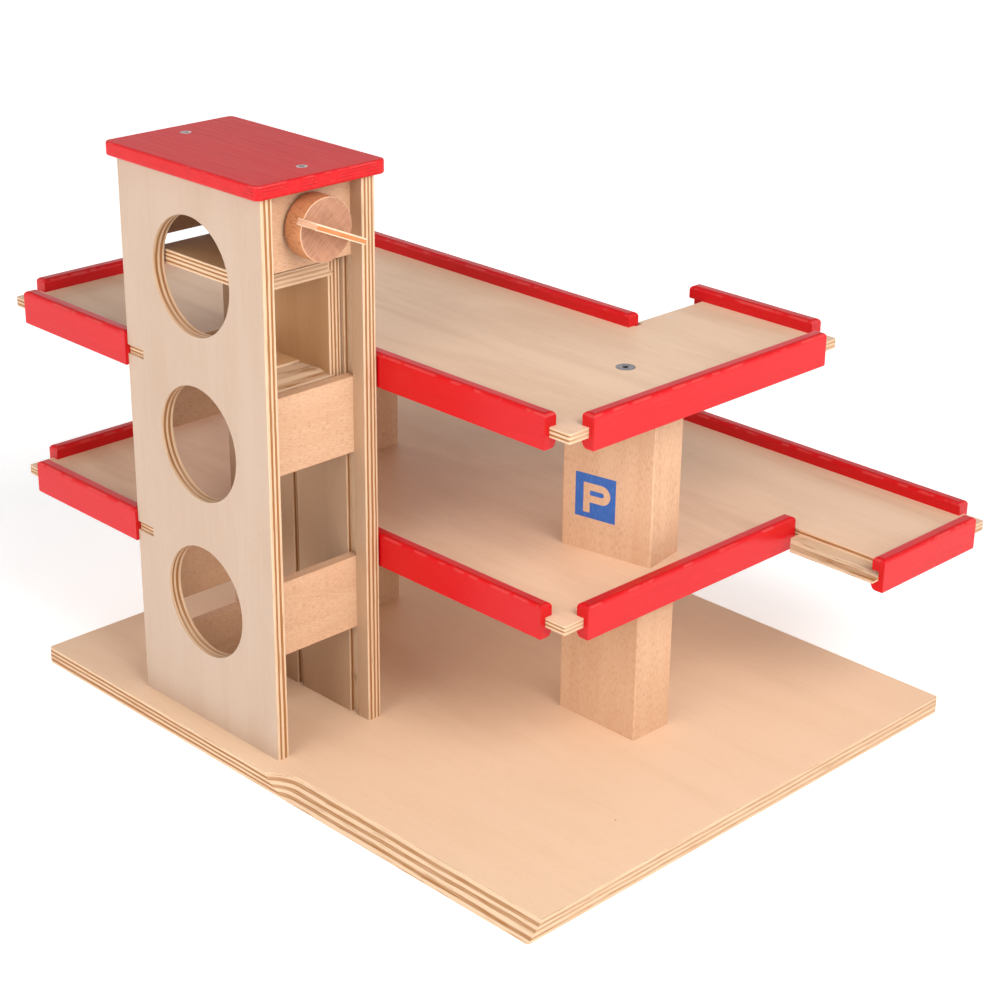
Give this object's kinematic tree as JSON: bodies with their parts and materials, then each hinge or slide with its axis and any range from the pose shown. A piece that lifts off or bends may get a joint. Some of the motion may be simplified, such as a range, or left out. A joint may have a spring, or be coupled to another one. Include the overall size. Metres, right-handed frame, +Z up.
{
  "type": "wooden toy parking garage",
  "caption": "Wooden toy parking garage: storeys with red-edged decks on pillars, and a windowed lift tower whose cabin is wound up and down by a knob.",
  "frame": {"origin": "centre of the base plate's underside", "axes": "+X to the right along the front edge, +Y from the front to the back, +Z up; seen from the front, the lift tower is at the left"},
  "size_m": [0.5415, 0.659, 0.4915],
  "materials": {
    "birch_plywood": "clear matt lacquer, light and dark plies at the edges",
    "beech": "clear matt lacquer, short dark flecks",
    "red_lacquered_wood": "glossy red lacquer over plywood",
    "orange_stained_wood": "orange-brown stain under clear lacquer",
    "zinc_plated_steel": "bright zinc plating",
    "cord": "braided natural cord",
    "black_fibre": "matt"
  },
  "bodies": {
    "garage": {"base_plate": "birch_plywood", "tower_left_panel": "birch_plywood", "tower_right_panel": "birch_plywood", "lower_deck": "birch_plywood", "upper_deck": "birch_plywood", "knob_block": "beech", "front_rail_upper": "beech", "front_rail_lower": "beech", "back_top_block": "beech", "back_rail_upper": "beech", "back_rail_lower": "beech", "back_sill": "beech", "lower_front_pillar": "beech", "lower_rear_pillar": "beech", "upper_front_pillar": "beech", "upper_rear_pillar": "beech", "tower_roof": "red_lacquered_wood", "lower_left_rail": "red_lacquered_wood", "lower_left_front_rail": "red_lacquered_wood", "lower_back_rail": "red_lacquered_wood", "lower_right_rail": "red_lacquered_wood", "lower_front_rail": "red_lacquered_wood", "lower_wing_rail": "red_lacquered_wood", "upper_left_rail": "red_lacquered_wood", "upper_left_front_rail": "red_lacquered_wood", "upper_back_rail": "red_lacquered_wood", "upper_right_rail": "red_lacquered_wood", "upper_front_rail": "red_lacquered_wood", "upper_wing_rail": "red_lacquered_wood", "roof_screws": "zinc_plated_steel", "panel_screws": "zinc_plated_steel", "tie_rods": "zinc_plated_steel", "tie_rod_top_nuts": "zinc_plated_steel", "tie_rod_foot_nuts": "zinc_plated_steel", "lift_cord": "cord"},
    "cabin": {"cabin_side": "birch_plywood", "cabin_top": "birch_plywood", "cabin_floor": "birch_plywood", "cabin_runner": "beech", "cord_knot": "cord"},
    "knob": {"knob_disc": "orange_stained_wood", "knob_grip": "orange_stained_wood", "knob_washer": "black_fibre", "winding_shaft": "beech", "shaft_collar": "beech", "cord_spool": "beech", "drive_pins": "zinc_plated_steel", "cord_winding": "cord"}
  },
  "joints": [
    {"name": "lift_slide", "type": "slide", "parent": "garage", "child": "cabin", "axis": [0, 0, 1], "range_m": [-0.2971, 0], "deforming": ["lift_cord"]},
    {"name": "knob_turn", "type": "hinge", "parent": "garage", "child": "knob", "pos_m": [-0.175, -0.005, 0.4485], "axis": [0, 1, 0], "range_deg": [0, 1799.8]}
  ],
  "couplings": [
    {"joint": "knob_turn", "follows": "lift_slide", "rad_per_m": -105.71}
  ]
}
